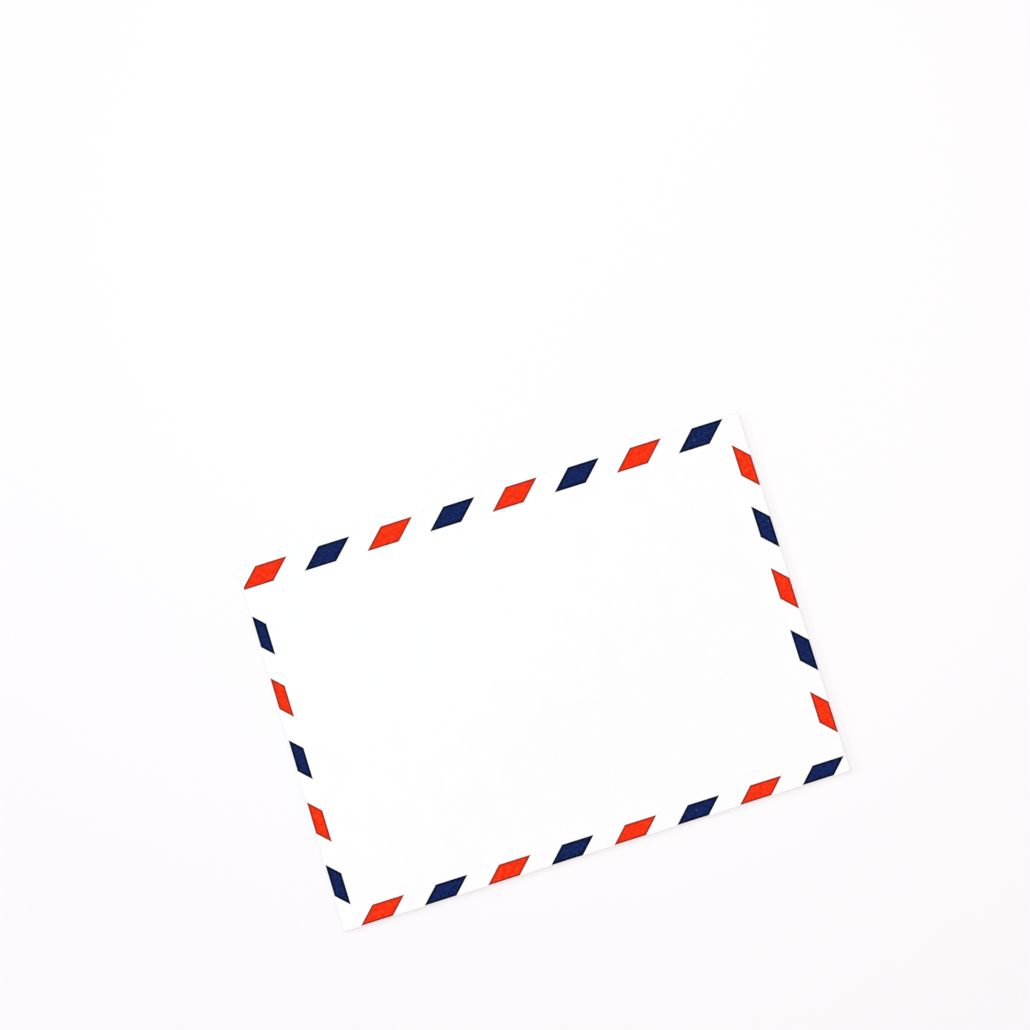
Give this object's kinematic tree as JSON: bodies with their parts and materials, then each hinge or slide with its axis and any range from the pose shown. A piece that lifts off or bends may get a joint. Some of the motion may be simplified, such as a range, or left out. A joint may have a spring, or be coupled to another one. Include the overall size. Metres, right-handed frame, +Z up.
{
  "type": "paper envelope",
  "caption": "Landscape paper envelope folded from one sheet, with pointed flaps on its back and a border of slanted red and navy bars on its front.",
  "frame": {"origin": "on the surface that the envelope lies on, under the middle of its outline", "axes": "+X along the long folds, to the right as the address side is read; +Y towards the opening, where the closing flap is folded over; +Z up out of the address side"},
  "size_m": [0.162, 0.115, 0.002],
  "materials": {
    "paper": "matt, fine uncoated fibre surface",
    "red_ink": "matt printed ink",
    "navy_ink": "matt printed ink"
  },
  "bodies": {
    "root": {"envelope_sheet": "paper", "red_bars": "red_ink", "navy_bars": "navy_ink"}
  },
  "joints": []
}
